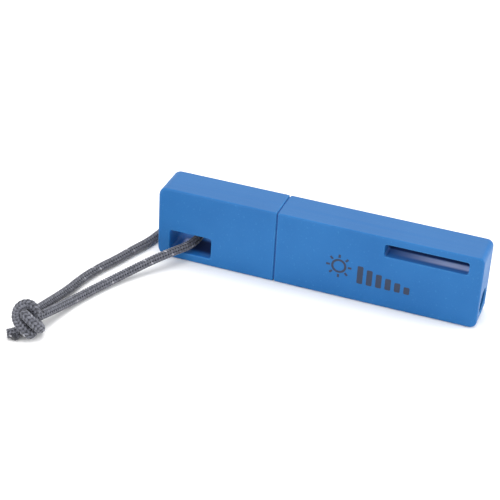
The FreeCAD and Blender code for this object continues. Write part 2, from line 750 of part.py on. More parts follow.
def build():
    nodes = {
        "tail_cap": tail_cap(),
        "front_housing": front_housing(),
        "seam_gasket": seam_gasket(),
        "rear_contact_holder": rear_contact_holder(),
        "rear_bridge_contact": rear_bridge_contact(),
        "rear_spring": coil_spring(cap_floor_x + holder_thickness + contact_plate,
                                   cells_x0 - contact_gap, low_cell_z),
        "holder_screws": holder_screws(),
        "carrier": carrier(),
        "carrier_screws": carrier_screws(),
        "front_positive_contact": front_positive_contact(),
        "front_negative_contact": front_negative_contact(),
        "front_spring": coil_spring(bulkhead_x0 + front_spring_length - contact_plate,
                                    cells_x1 + contact_gap, high_cell_z),
        "circuit_board": circuit_board(),
        "switch_body": switch_body(),
        "switch_plunger": switch_plunger(),
        "push_button": push_button(),
        "led_dome": led_dome(),
        "led_leads": led_leads(),
        "reflector": reflector(),
        "lens": lens(),
        "lens_seal": lens_seal(),
        "lanyard_cord": cord_tube(cord_route, "cord"),
        "lanyard_knot": lanyard_knot(),
        "lanyard_tails": lanyard_tails(),
    }
    chip, legs, small = chip_parts()
    nodes["driver_chip"] = chip
    nodes["driver_chip_legs"] = legs
    nodes["chip_resistors"] = small
    for name, z, nub_to_lamp in (("lower_cell", low_cell_z, True), ("upper_cell", high_cell_z, False)):
        can, sleeve, washer, nub = cell_parts(z, nub_to_lamp)
        nodes[name + "_can"] = can
        nodes[name + "_sleeve"] = sleeve
        nodes[name + "_washer"] = washer
        nodes[name + "_button"] = nub
    return nodes


for node_name, node_shape in build().items():
    if not node_shape.isValid() or not node_shape.Solids:
        print("bad solid:", node_name)
    node_shape.exportStep("parts/" + node_name + ".step")
print("cells run from", round(cells_x0, 2), "to", round(cells_x1, 2))
print("slot", round(slot_x0, 2), round(slot_x1, 2), round(slot_floor, 2), round(slot_top, 2))
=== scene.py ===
import math

import bpy
import numpy as np
from mathutils import Matrix, Vector


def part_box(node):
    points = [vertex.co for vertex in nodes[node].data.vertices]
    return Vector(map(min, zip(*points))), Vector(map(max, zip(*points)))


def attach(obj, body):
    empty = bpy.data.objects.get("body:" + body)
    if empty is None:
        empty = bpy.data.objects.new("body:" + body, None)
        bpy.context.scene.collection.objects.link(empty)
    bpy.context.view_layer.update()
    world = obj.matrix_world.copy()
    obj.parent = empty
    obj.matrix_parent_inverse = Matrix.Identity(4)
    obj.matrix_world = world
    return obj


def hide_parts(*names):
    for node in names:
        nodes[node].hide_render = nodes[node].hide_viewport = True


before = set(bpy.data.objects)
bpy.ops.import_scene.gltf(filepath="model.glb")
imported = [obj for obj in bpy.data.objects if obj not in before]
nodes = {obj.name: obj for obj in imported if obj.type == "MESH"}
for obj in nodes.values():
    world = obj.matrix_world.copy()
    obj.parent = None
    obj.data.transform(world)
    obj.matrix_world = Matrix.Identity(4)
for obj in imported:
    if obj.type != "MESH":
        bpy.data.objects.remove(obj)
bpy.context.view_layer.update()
mm = 0.001
print("frame loaded:", len(nodes), "nodes")

# Camera: its place, and the three directions it is turned to, in millimetres in the object's frame.
camera = {
    "place": (108.1, -396.8, 262.5),
    "forward": (-0.2677, 0.8086, -0.5239),
    "up": (-0.2179, 0.4788, 0.8504),
    "lens": 110.56,      # on a 36 mm sensor
    "sensor": 36.0,
}


def makeCamera():
    data = bpy.data.cameras.new("camera")
    data.lens = camera["lens"]
    data.sensor_width = camera["sensor"]
    data.clip_start = 0.01
    data.clip_end = 20
    forward = Vector(camera["forward"]).normalized()
    right = forward.cross(Vector(camera["up"])).normalized()
    up = right.cross(forward)
    turn = Matrix((right, up, -forward)).transposed()
    shooter = bpy.data.objects.new("camera", data)
    shooter.matrix_world = Matrix.Translation(Vector(camera["place"]) * mm) @ turn.to_4x4()
    bpy.context.scene.collection.objects.link(shooter)
    bpy.context.scene.camera = shooter


makeCamera()

# The lanyard: its route runs from the knot through the window and back.
cord = {
    "diameter": 3.0,
    "lay": 7.6,            # length in which a strand goes once round
    "strandsEachWay": 8,
    "strandWidth": 0.66,
    "strandThickness": 0.42,
    "wave": 0.16,          # how far a strand rises and sinks as it goes over and under
    "stepsPerTurn": 26,
    "sides": 6,
    "coreRadius": 1.05,
    "coreSides": 10,
    "pathPoints": 220,     # points of the middle line
    "tracers": (0,),       # strands of the first direction in a lighter yarn
}
cordRoute = [
    (-67.7, -58.4, 4.3),
    (-66.4, -51.8, 2.9),
    (-64.2, -43.6, 1.8),
    (-60.9, -34.6, 1.6),
    (-56.6, -25.6, 2.0),
    (-51.0, -17.4, 3.7),
    (-46.2, -11.2, 4.9),
    (-41.8, -4.4, 5.1),
    (-41.1, 3.0, 5.0),
    (-42.4, 10.4, 4.9),
    (-47.6, 14.0, 3.8),
    (-53.4, 11.4, 2.4),
    (-55.6, 4.4, 1.7),
    (-57.0, -3.2, 1.6),
    (-59.6, -9.7, 1.65),
    (-61.9, -16.8, 1.6),
    (-64.9, -23.8, 1.6),
    (-67.2, -31.4, 1.6),
    (-68.5, -40.4, 1.7),
    (-69.9, -49.4, 2.8),
    (-70.4, -58.2, 4.7),
]


def routeLine(points):
    # The smooth line of a route: a NURBS spline with the route's points as its control points.
    curve = bpy.data.curves.new("route", "CURVE")
    curve.dimensions = "3D"
    spline = curve.splines.new("NURBS")
    spline.points.add(len(points) - 1)
    for point, place in zip(spline.points, points):
        point.co = (*[v * mm for v in place], 1)
    spline.order_u = 3
    spline.use_endpoint_u = True
    spline.resolution_u = 24
    holder = bpy.data.objects.new("route", curve)
    bpy.context.scene.collection.objects.link(holder)
    mesh = bpy.data.meshes.new_from_object(holder)
    line = np.zeros(len(mesh.vertices) * 3)
    mesh.vertices.foreach_get("co", line)
    bpy.data.objects.remove(holder)
    bpy.data.meshes.remove(mesh)
    return line.reshape(-1, 3)


def evenly(line, count):
    # The same line with its points spaced evenly along it, and its length.
    along = np.r_[0, np.cumsum(np.linalg.norm(np.diff(line, axis=0), axis=1))]
    marks = np.linspace(0, along[-1], count)
    return np.stack([np.interp(marks, along, line[:, k]) for k in range(3)], 1), along[-1]


def steadyFrame(line):
    # Unit tangents, and two directions across the line that turn as little as they can along it.
    tangent = np.gradient(line, axis=0)
    tangent /= np.linalg.norm(tangent, axis=1)[:, None]
    across = np.zeros_like(line)
    seed = np.cross(tangent[0], (0.0, 0.0, 1.0))
    across[0] = seed / np.linalg.norm(seed)
    for i in range(1, len(line)):
        d = across[i - 1] - tangent[i] * (across[i - 1] @ tangent[i])
        across[i] = d / np.linalg.norm(d)
    return tangent, across, np.cross(tangent, across)


def tubeFaces(rows, sides, first):
    # Quads between the rings of a tube, each ring having the same number of points.
    r = np.arange(rows - 1)[:, None] * sides
    c = np.arange(sides)[None, :]
    n = (c + 1) % sides
    return np.stack([r + c, r + n, r + sides + n, r + sides + c], -1).reshape(-1, 4) + first


def makeMesh(name, points, quads, caps):
    mesh = bpy.data.meshes.new(name)
    faces = [tuple(q) for q in quads.tolist()] + [tuple(c) for c in caps]
    mesh.from_pydata(points.tolist(), [], faces)
    mesh.polygons.foreach_set("use_smooth", np.full(len(faces), True))
    mesh.update()
    obj = bpy.data.objects.new(name, mesh)
    bpy.context.scene.collection.objects.link(obj)
    return obj


def braid(line, swell):
    # A round braid. A strand's angle grows evenly along the cord, one way for half of them and the
    # other way for the rest. Its distance from the middle is a mean radius plus a cosine of four
    # times the angle, the other way up for the second half, so each strand goes over two and under
    # two. Its section is an ellipse laid flat on the cord.
    length = evenly(line, 2)[1] / mm
    rows = max(8, int(length / cord["lay"] * cord["stepsPerTurn"]))
    line = evenly(line, rows)[0]
    tangent, across, up = steadyFrame(line)
    s = np.linspace(0, length, rows)
    sides = cord["sides"]
    middle = cord["diameter"] / 2 - cord["strandThickness"] / 2 - cord["wave"]
    ring = np.arange(sides) / sides * 2 * np.pi
    points, quads, caps, tones, rises = [], [], [], [], []
    for way in (1, -1):
        for k in range(cord["strandsEachWay"]):
            angle = way * 2 * np.pi * s / cord["lay"] + 2 * np.pi * k / cord["strandsEachWay"]
            rise = way * np.cos(4 * angle)
            radius = (middle + cord["wave"] * rise) * swell
            out = across * np.cos(angle)[:, None] + up * np.sin(angle)[:, None]
            centre = line + out * (radius * mm)[:, None]
            run = np.gradient(centre, axis=0)
            run /= np.linalg.norm(run, axis=1)[:, None]
            flat = np.cross(run, out)
            flat /= np.linalg.norm(flat, axis=1)[:, None]
            thick = np.cross(flat, run)
            wide = cord["strandWidth"] / 2 * swell * mm * np.cos(ring)
            high = cord["strandThickness"] / 2 * mm * np.sin(ring)
            skin = centre[:, None] + flat[:, None] * wide[None, :, None]
            skin = skin + thick[:, None] * high[None, :, None]
            first = sum(len(p) for p in points)
            points.append(skin.reshape(-1, 3))
            quads.append(tubeFaces(rows, sides, first))
            caps.append(range(first + sides - 1, first - 1, -1))
            caps.append(range(first + (rows - 1) * sides, first + rows * sides))
            tone = 1.0 if way == 1 and k in cord["tracers"] else 0.7 * (k % 2)
            tones.append(np.full(rows * sides, tone))
            rises.append(np.repeat(rise, sides))
    # The core inside keeps light from passing through the braid.
    coreSides = cord["coreSides"]
    ring = np.arange(coreSides) / coreSides * 2 * np.pi
    out = across[:, None] * np.cos(ring)[None, :, None] + up[:, None] * np.sin(ring)[None, :, None]
    first = sum(len(p) for p in points)
    points.append((line[:, None] + out * cord["coreRadius"] * mm).reshape(-1, 3))
    quads.append(tubeFaces(rows, coreSides, first))
    caps.append(range(first + coreSides - 1, first - 1, -1))
    caps.append(range(first + (rows - 1) * coreSides, first + rows * coreSides))
    tones.append(np.zeros(rows * coreSides))
    # The core counts as fully sunk, so it takes the full painted pit shade.
    rises.append(np.full(rows * coreSides, -1.0))
    return (np.concatenate(points), np.concatenate(quads), caps, np.concatenate(tones),
            np.concatenate(rises))


def braidPiece(name, lines, swell=1.0):
    points, quads, caps, tones, rises = [], [], [], [], []
    count = 0
    for line in lines:
        p, q, c, t, r = braid(line, swell=swell)
        points.append(p)
        quads.append(q + count)
        caps += [[i + count for i in cap] for cap in c]
        tones.append(t)
        rises.append(r)
        count += len(p)
    obj = makeMesh(name, np.concatenate(points), np.concatenate(quads), caps)
    for label, values in (("strandTone", tones), ("strandRise", rises)):
        attribute = obj.data.attributes.new(label, "FLOAT", "POINT")
        attribute.data.foreach_set("value", np.concatenate(values))
    return obj


cordLine = routeLine(cordRoute)
lanyard = braidPiece("lanyardBraid", [cordLine])

# Overhand knot of the doubled cord. Its points are in a tilted frame of its own: across, rise, out.
knotShape = {
    "centre": (-70.1, -62.8, 4.6),
    "across": (0.938, 0.343, 0.047),
    "rise": (-0.219, 0.483, 0.848),
    "out": (0.268, -0.806, 0.528),
    "swell": 1.09,         # the braid spreads where it bends hard
    "outer": [
        (1.2, 0.4, -1.0), (2.1, 2.0, -0.1), (1.9, 3.5, 0.6), (0.8, 4.6, 1.0), (-1.0, 4.7, 1.0),
        (-2.5, 3.7, 1.1), (-3.2, 2.1, 1.3), (-3.1, 0.3, 1.7), (-2.3, -1.2, 2.3), (-1.2, -2.5, 2.5),
        (0.1, -3.8, 2.2), (0.95, -4.3, 1.0), (1.2, -3.4, -0.6), (0.8, -1.9, -2.0), (-0.4, -0.4, -2.9),
        (-1.9, 1.1, -2.7), (-2.6, 2.2, -1.2), (-1.9, 2.2, 0.0),
    ],
    "inner": [
        (-0.6, 1.0, -1.0), (-1.0, 1.7, 0.8), (-0.8, 1.7, 2.3), (0.2, 0.9, 3.3), (1.4, -0.3, 3.4),
        (2.6, -1.5, 2.8), (3.5, -2.4, 1.4), (3.6, -2.6, -0.4), (2.8, -1.8, -2.0), (1.6, -0.4, -3.0),
        (0.3, 1.2, -3.2), (-0.3, 2.8, -2.2), (0.2, 3.0, -0.8),
    ],
    "standingLow": [
        (3.6, 1.2, -2.9), (2.6, 0.9, -1.4), (1.2, 0.1, -0.2), (-0.9, -1.5, 0.1), (-2.5, -3.0, 0.5),
        (-4.1, -3.8, 1.1), (-5.9, -4.0, 1.3),
    ],
    "standingHigh": [
        (1.1, 2.3, -3.6), (0.6, 1.2, -2.2), (-0.4, 0.0, -1.1), (-1.7, -1.6, -0.7), (-2.7, -3.0, -0.2),
        (-3.4, -4.1, 1.0), (-3.9, -4.9, 2.3),
    ],
}


def knotLine(name):
    turn = np.array([knotShape[k] for k in ("across", "rise", "out")])
    return routeLine((np.array(knotShape[name]) @ turn + knotShape["centre"]).tolist())


knot = braidPiece("knotBraid", [knotLine(name) for name in ("outer", "inner")], swell=knotShape["swell"])
tails = braidPiece("tailBraid", [knotLine(name) for name in ("standingLow", "standingHigh")])
print("knot made")


def makeGroup(name, inputs, outputs):
    group = bpy.data.node_groups.new(name, "ShaderNodeTree")
    for kind, label, value in inputs:
        socket = group.interface.new_socket(label, in_out="INPUT", socket_type=kind)
        if value is not None:
            socket.default_value = value
    for kind, label in outputs:
        group.interface.new_socket(label, in_out="OUTPUT", socket_type=kind)
    return group, group.nodes.new("NodeGroupInput"), group.nodes.new("NodeGroupOutput")


def addNode(tree, kind, settings=None, **values):
    node = tree.nodes.new(kind)
    for key, value in (settings or {}).items():
        setattr(node, key, value)
    for key, value in values.items():
        node.inputs[key].default_value = value
    return node


def mathNode(tree, operation, a, b=None, c=None, clamp=False):
    node = tree.nodes.new("ShaderNodeMath")
    node.operation = operation
    node.use_clamp = clamp
    for slot, value in enumerate((a, b, c)):
        if value is None:
            continue
        if isinstance(value, (int, float)):
            node.inputs[slot].default_value = value
        else:
            tree.links.new(value, node.inputs[slot])
    return node.outputs[0]


def mixColour(tree, factor, a, b):
    node = tree.nodes.new("ShaderNodeMix")
    node.data_type = "RGBA"
    for socket, value in ((node.inputs[0], factor), (node.inputs[6], a), (node.inputs[7], b)):
        if isinstance(value, (int, float)):
            socket.default_value = value
        elif isinstance(value, (tuple, list)):
            socket.default_value = (*value[:3], 1)
        else:
            tree.links.new(value, socket)
    return node.outputs[2]


def rampNode(tree, source, low, high):
    node = tree.nodes.new("ShaderNodeMapRange")
    node.interpolation_type = "SMOOTHSTEP"
    node.inputs["From Min"].default_value = low
    node.inputs["From Max"].default_value = high
    tree.links.new(source, node.inputs["Value"])
    return node.outputs[0]


def buildSpecks():
    # Fine moulding specks: small cells of a Voronoi pattern, some lighter and some darker.
    group, start, end = makeGroup("mouldSpecks",
                                  [("NodeSocketVector", "Position", None),
                                   ("NodeSocketFloat", "Scale", 1400.0), ("NodeSocketFloat", "Amount", 0.5)],
                                  [("NodeSocketFloat", "Mask"), ("NodeSocketFloat", "Height")])
    noise = addNode(group, "ShaderNodeTexNoise", Detail=3.0, Roughness=0.6)
    group.links.new(start.outputs["Position"], noise.inputs["Vector"])
    group.links.new(start.outputs["Scale"], noise.inputs["Scale"])
    peak = rampNode(group, noise.outputs["Fac"], 0.60, 0.74)
    mask = mathNode(group, "MULTIPLY", peak, start.outputs["Amount"])
    group.links.new(mask, end.inputs["Mask"])
    group.links.new(noise.outputs["Fac"], end.inputs["Height"])
    return group


def buildWear():
    # Rubbed edges: where the rounded normal leaves the flat one, broken up by noise.
    group, start, end = makeGroup("rubbedEdges",
                                  [("NodeSocketVector", "Position", None),
                                   ("NodeSocketFloat", "Breakup", 260.0), ("NodeSocketFloat", "Amount", 0.6)],
                                  [("NodeSocketFloat", "Mask"), ("NodeSocketFloat", "Edge")])
    bevel = addNode(group, "ShaderNodeBevel", {"samples": 4}, Radius=0.0006)
    geometry = addNode(group, "ShaderNodeNewGeometry")
    dot = addNode(group, "ShaderNodeVectorMath", {"operation": "DOT_PRODUCT"})
    group.links.new(bevel.outputs["Normal"], dot.inputs[0])
    group.links.new(geometry.outputs["Normal"], dot.inputs[1])
    edge = mathNode(group, "SUBTRACT", 1.0, dot.outputs["Value"], clamp=True)
    edge = rampNode(group, edge, 0.004, 0.10)
    noise = addNode(group, "ShaderNodeTexNoise", Detail=4.0)
    group.links.new(start.outputs["Position"], noise.inputs["Vector"])
    group.links.new(start.outputs["Breakup"], noise.inputs["Scale"])
    broken = rampNode(group, noise.outputs["Fac"], 0.42, 0.62)
    mask = mathNode(group, "MULTIPLY", mathNode(group, "MULTIPLY", edge, broken), start.outputs["Amount"])
    group.links.new(mask, end.inputs["Mask"])
    group.links.new(edge, end.inputs["Edge"])
    return group


def buildCloudy():
    # Slow changes over a surface: soft noise from 0 to 1.
    group, start, end = makeGroup("slowClouds",
                                  [("NodeSocketVector", "Position", None),
                                   ("NodeSocketFloat", "Scale", 60.0)],
                                  [("NodeSocketFloat", "Mask")])
    noise = addNode(group, "ShaderNodeTexNoise", Detail=2.0, Roughness=0.5)
    group.links.new(start.outputs["Position"], noise.inputs["Vector"])
    group.links.new(start.outputs["Scale"], noise.inputs["Scale"])
    group.links.new(rampNode(group, noise.outputs["Fac"], 0.3, 0.7), end.inputs["Mask"])
    return group


specksGroup = buildSpecks()
wearGroup = buildWear()
cloudGroup = buildCloudy()


def useGroup(tree, group, position, **values):
    node = tree.nodes.new("ShaderNodeGroup")
    node.node_tree = group
    if position is not None:
        tree.links.new(position, node.inputs["Position"])
    for key, value in values.items():
        node.inputs[key].default_value = value
    return node


def newMaterial(name):
    material = bpy.data.materials.new(name)
    material.use_nodes = True
    tree = material.node_tree
    shader = tree.nodes["Principled BSDF"]
    place = addNode(tree, "ShaderNodeTexCoord").outputs["Object"]
    return material, tree, shader, place


def addBump(tree, shader, height, strength, distance):
    bump = addNode(tree, "ShaderNodeBump", Strength=strength, Distance=distance)
    tree.links.new(height, bump.inputs["Height"])
    tree.links.new(bump.outputs["Normal"], shader.inputs["Normal"])


def dress(nodeName, material):
    mesh = nodes[nodeName].data
    mesh.materials.clear()
    mesh.materials.append(material)


# Blue shells
shell = {
    "blue": (0.0138, 0.127, 0.354),
    "deepBlue": (0.0098, 0.110, 0.322),
    "paleBlue": (0.06, 0.27, 0.54),
    # painted blue bounce light inside the openings
    "mouth": (0.010, 0.145, 0.470),    # the openings' own walls, lit by blue light from each other
    # painted shade deep inside the openings
    "hollow": (0.003, 0.016, 0.085),
    # painted shade on the top face, for the light falling on it from above
    "topShadeTint": (0.040, 0.122, 0.285),
    # a painted pale reflection on the openings' floors
    "paintedSheen": (0.74, 0.80, 1.0),
    "roughness": 0.40,
    "specular": 0.22,
    "halfDepth": 6.5,          # from the middle to the front or back face, mm
    "speckAmount": 0.5,
    # a painted highlight along the rounded edges
    "edgeHighlightAmount": 0.35,
    "topShadeAmount": 0.55,
    "streakAmount": 0.28,
    "lineRoughness": 0.07,
    "cloudRoughness": 0.05,
    "depthRoughness": 0.5,     # the openings' depth is dull
}
mark = {
    "ink": (0.030, 0.032, 0.045),
    "sun": (8.0, 11.3),        # middle of the light symbol, x and z, mm
    "sunRadius": 2.1,
    "rayFrom": 2.9,
    "rayTo": 4.1,
    "line": 0.75,
    "rays": 8,
    "barsStart": 14.0,
    "barStep": 3.0,
    "barCount": 6,
    "barWidth": 1.9,
    "barTop": 12.9,
    "barFloor": 6.6,
    "barDrop": 0.75,           # each bar is lower than the one before it
    "barCorner": 0.45,
    "frontOf": -6.2,           # printed only where y is below this
}


def roundedBoxMask(tree, x, z, centreX, centreZ, halfX, halfZ, corner):
    # Distance to a rounded box: the length of the part of the offset outside the box, less the corner.
    dx = mathNode(tree, "SUBTRACT", mathNode(tree, "ABSOLUTE", mathNode(tree, "SUBTRACT", x, centreX)),
                  halfX - corner)
    dz = mathNode(tree, "SUBTRACT", mathNode(tree, "ABSOLUTE", mathNode(tree, "SUBTRACT", z, centreZ)),
                  halfZ - corner)
    dx = mathNode(tree, "MAXIMUM", dx, 0.0)
    dz = mathNode(tree, "MAXIMUM", dz, 0.0)
    far = mathNode(tree, "SQRT", mathNode(tree, "ADD", mathNode(tree, "MULTIPLY", dx, dx),
                                          mathNode(tree, "MULTIPLY", dz, dz)))
    return mathNode(tree, "SUBTRACT", far, corner)


def inkMask(tree, x, y, z):
    # Printed decoration on the front face: a ring with rays, and a row of bars that gets lower.
    sunX, sunZ = mark["sun"]
    dx = mathNode(tree, "SUBTRACT", x, sunX)
    dz = mathNode(tree, "SUBTRACT", z, sunZ)
    far = mathNode(tree, "SQRT", mathNode(tree, "ADD", mathNode(tree, "MULTIPLY", dx, dx),
                                          mathNode(tree, "MULTIPLY", dz, dz)))
    offset = mathNode(tree, "ABSOLUTE", mathNode(tree, "SUBTRACT", far, mark["sunRadius"]))
    ring = mathNode(tree, "LESS_THAN", offset, mark["line"] / 2)
    # Rays: the angle folded into one sector, times the distance, gives the distance to a ray's middle.
    sector = 2 * math.pi / mark["rays"]
    angle = mathNode(tree, "ARCTAN2", dz, dx)
    folded = mathNode(tree, "PINGPONG", angle, sector / 2)
    beside = mathNode(tree, "LESS_THAN", mathNode(tree, "MULTIPLY", folded, far), mark["line"] / 2)
    within = mathNode(tree, "MULTIPLY", mathNode(tree, "GREATER_THAN", far, mark["rayFrom"]),
                      mathNode(tree, "LESS_THAN", far, mark["rayTo"]))
    ink = mathNode(tree, "MAXIMUM", ring, mathNode(tree, "MULTIPLY", beside, within))
    for k in range(mark["barCount"]):
        centre = mark["barsStart"] + k * mark["barStep"] + mark["barWidth"] / 2
        top = mark["barTop"] - mark["barDrop"] * k
        bar = roundedBoxMask(tree, x, z, centre, (top + mark["barFloor"]) / 2, mark["barWidth"] / 2,
                             (top - mark["barFloor"]) / 2, mark["barCorner"])
        ink = mathNode(tree, "MAXIMUM", ink, mathNode(tree, "LESS_THAN", bar, 0.0))
    return mathNode(tree, "MULTIPLY", ink, mathNode(tree, "LESS_THAN", y, mark["frontOf"]))


def insideMask(tree, x, z, low, high):
    # 1 between the sides of an opening that runs from front to back, 0 elsewhere.
    mask = mathNode(tree, "GREATER_THAN", x, low[0])
    for value, limit, side in ((x, high[0], "LESS_THAN"), (z, low[1], "GREATER_THAN"),
                               (z, high[1], "LESS_THAN")):
        mask = mathNode(tree, "MULTIPLY", mask, mathNode(tree, side, value, limit))
    return mask


# Painted light and shade inside the two openings: mouth is painted bounce light, dark is painted shade and
# band is a painted sheen, all three as amounts. low and high are corners in x and z.
# Every other pair is where a change starts and ends, in millimetres: From and To are depths behind
# the face, Along and End are places along the body.
hollows = {
    "slot": {"low": (21.5, 18.2), "high": (48.3, 22.7), "mouth": 0.5, "dark": 0.86,
             "darkFrom": (4.8, 5.9), "darkAlong": (0.0, 1.0), "band": 0.9, "bandFrom": (1.6, 3.2),
             "bandTo": (4.4, 5.6), "bandAlong": (22.0, 44.0), "bandEnd": (60.0, 61.0)},
    "window": {"low": (-48.7, 2.6), "high": (-34.0, 10.3), "mouth": 0.9, "dark": 0.97,
               "darkFrom": (1.5, 4.2), "darkAlong": (-46.5, -40.5), "band": 0.75,
               "bandFrom": (3.4, 5.2), "bandTo": (20.0, 21.0), "bandAlong": (-46.6, -45.2),
               "bandEnd": (-43.4, -42.2)},
}


def shellMaterial(name, printed):
    material, tree, shader, place = newMaterial(name)
    clouds = useGroup(tree, cloudGroup, place, Scale=45.0)
    specks = useGroup(tree, specksGroup, place, Scale=1500.0, Amount=0.55)
    # The shell's worn edges, raised in amount, also serve as a painted edge highlight.
    wear = useGroup(tree, wearGroup, place, Breakup=240.0, Amount=0.8)
    base = mixColour(tree, clouds.outputs["Mask"], shell["blue"], shell["deepBlue"])
    base = mixColour(tree, mathNode(tree, "MULTIPLY", specks.outputs["Mask"], shell["speckAmount"]),
                     base, shell["paleBlue"])
    # Painted highlight along every rounded edge, not broken up.
    base = mixColour(tree, mathNode(tree, "MULTIPLY", wear.outputs["Edge"], shell["edgeHighlightAmount"]),
                     base, shell["paleBlue"])
    base = mixColour(tree, wear.outputs["Mask"], base, shell["paleBlue"])
    # Faint draw lines along the length, and broad streaks on the top face only.
    stretch = addNode(tree, "ShaderNodeMapping", Scale=(6.0, 900.0, 900.0))
    tree.links.new(place, stretch.inputs["Vector"])
    lines = addNode(tree, "ShaderNodeTexNoise", Scale=1.0, Detail=2.0)
    tree.links.new(stretch.outputs["Vector"], lines.inputs["Vector"])
    lineMask = rampNode(tree, lines.outputs["Fac"], 0.35, 0.75)
    broad = addNode(tree, "ShaderNodeMapping", Scale=(9.0, 420.0, 1.0))
    tree.links.new(place, broad.inputs["Vector"])
    streaks = addNode(tree, "ShaderNodeTexNoise", Scale=1.0, Detail=1.5)
    tree.links.new(broad.outputs["Vector"], streaks.inputs["Vector"])
    normal = addNode(tree, "ShaderNodeTexCoord")
    facing = addNode(tree, "ShaderNodeSeparateXYZ")
    tree.links.new(normal.outputs["Normal"], facing.inputs[0])
    topMask = rampNode(tree, facing.outputs["Z"], 0.8, 1.0)
    streak = mathNode(tree, "MULTIPLY", rampNode(tree, streaks.outputs["Fac"], 0.50, 0.72), topMask)
    # Painted shade: the top face tinted greyer and a little darker for the light from above.
    base = mixColour(tree, mathNode(tree, "MULTIPLY", topMask, shell["topShadeAmount"]), base, shell["topShadeTint"])
    base = mixColour(tree, mathNode(tree, "MULTIPLY", streak, shell["streakAmount"]), base, shell["deepBlue"])
    rough = mathNode(tree, "ADD", shell["roughness"],
                     mathNode(tree, "MULTIPLY", lineMask, shell["lineRoughness"]))
    rough = mathNode(tree, "ADD", rough, mathNode(tree, "MULTIPLY", clouds.outputs["Mask"],
                                                 shell["cloudRoughness"]))
    split = addNode(tree, "ShaderNodeSeparateXYZ")
    tree.links.new(place, split.inputs[0])
    x, y, z = [mathNode(tree, "MULTIPLY", split.outputs[k], 1000.0) for k in "XYZ"]
    # Inside the opening: painted blue bounce light near the mouth, a painted pale sheen on the floor, then
    # painted shade in the depth.
    opening = hollows["slot" if printed else "window"]
    depth = mathNode(tree, "SUBTRACT", shell["halfDepth"], mathNode(tree, "ABSOLUTE", y))
    within = insideMask(tree, x, z, opening["low"], opening["high"])
    within = mathNode(tree, "MULTIPLY", within, mathNode(tree, "GREATER_THAN", depth, 0.1))
    # Painted shade in the opening's depth.
    dark = mathNode(tree, "MULTIPLY", rampNode(tree, depth, *opening["darkFrom"]),
                    rampNode(tree, x, *opening["darkAlong"]))
    dark = mathNode(tree, "MULTIPLY", mathNode(tree, "MULTIPLY", dark, within), opening["dark"])
    # Painted blue bounce light on the opening's walls.
    base = mixColour(tree, mathNode(tree, "MULTIPLY", within, opening["mouth"]), base, shell["mouth"])
    base = mixColour(tree, dark, base, shell["hollow"])
    # A painted pale sheen on the opening's floor.
    band = mathNode(tree, "MULTIPLY", rampNode(tree, depth, *opening["bandFrom"]),
                    mathNode(tree, "SUBTRACT", 1.0, rampNode(tree, depth, *opening["bandTo"])))
    band = mathNode(tree, "MULTIPLY", band, rampNode(tree, x, *opening["bandAlong"]))
    band = mathNode(tree, "MULTIPLY", band, mathNode(tree, "SUBTRACT", 1.0, rampNode(
        tree, x, *opening["bandEnd"])))
    band = mathNode(tree, "MULTIPLY", band, mathNode(tree, "LESS_THAN", z, opening["low"][1] + 0.6))
    band = mathNode(tree, "MULTIPLY", mathNode(tree, "MULTIPLY", band, within), opening["band"])
    base = mixColour(tree, band, base, shell["paintedSheen"])
    if printed:
        ink = inkMask(tree, x, y, z)
        thin = addNode(tree, "ShaderNodeTexNoise", Scale=2600.0, Detail=2.0)
        tree.links.new(place, thin.inputs["Vector"])
        cover = mathNode(tree, "MULTIPLY", ink, mathNode(tree, "ADD", 0.80, mathNode(
            tree, "MULTIPLY", thin.outputs["Fac"], 0.2)))
        base = mixColour(tree, cover, base, mark["ink"])
        rough = mathNode(tree, "ADD", rough, mathNode(tree, "MULTIPLY", ink, 0.1))
    tree.links.new(base, shader.inputs["Base Color"])
    dull = mathNode(tree, "MULTIPLY", dark, shell["depthRoughness"])
    rough = mathNode(tree, "ADD", rough, dull, clamp=True)
    tree.links.new(rough, shader.inputs["Roughness"])
    shader.inputs["Specular IOR Level"].default_value = shell["specular"]
    height = mathNode(tree, "ADD", mathNode(tree, "MULTIPLY", specks.outputs["Height"], 0.7),
                      mathNode(tree, "MULTIPLY", lines.outputs["Fac"], 0.5))
    addBump(tree, shader, height, 0.25, 0.00004)
    return material


dress("front_housing", shellMaterial("housingBlue", True))
dress("tail_cap", shellMaterial("capBlue", False))
print("shell materials made")


def grainMaterial(name, low, high, roughness, metallic=0.0, scale=400.0, stretch=(1, 1, 1), bump=0.2,
                  distance=0.00003, wearTone=None, transmission=0.0, ior=1.5):
    # One finish: two tones mixed by stretched noise, roughness that follows it, and worn edges.
    material, tree, shader, place = newMaterial(name)
    mapping = addNode(tree, "ShaderNodeMapping", Scale=stretch)
    tree.links.new(place, mapping.inputs["Vector"])
    noise = addNode(tree, "ShaderNodeTexNoise", Scale=scale, Detail=4.0, Roughness=0.6)
    tree.links.new(mapping.outputs["Vector"], noise.inputs["Vector"])
    grain = rampNode(tree, noise.outputs["Fac"], 0.3, 0.7)
    base = mixColour(tree, grain, low, high)
    if wearTone:
        wear = useGroup(tree, wearGroup, place, Breakup=500.0, Amount=0.7)
        base = mixColour(tree, wear.outputs["Mask"], base, wearTone)
    tree.links.new(base, shader.inputs["Base Color"])
    tree.links.new(mathNode(tree, "ADD", roughness, mathNode(tree, "MULTIPLY", grain, 0.12)),
                   shader.inputs["Roughness"])
    shader.inputs["Metallic"].default_value = metallic
    shader.inputs["Transmission Weight"].default_value = transmission
    shader.inputs["IOR"].default_value = ior
    addBump(tree, shader, noise.outputs["Fac"], bump, distance)
    return material


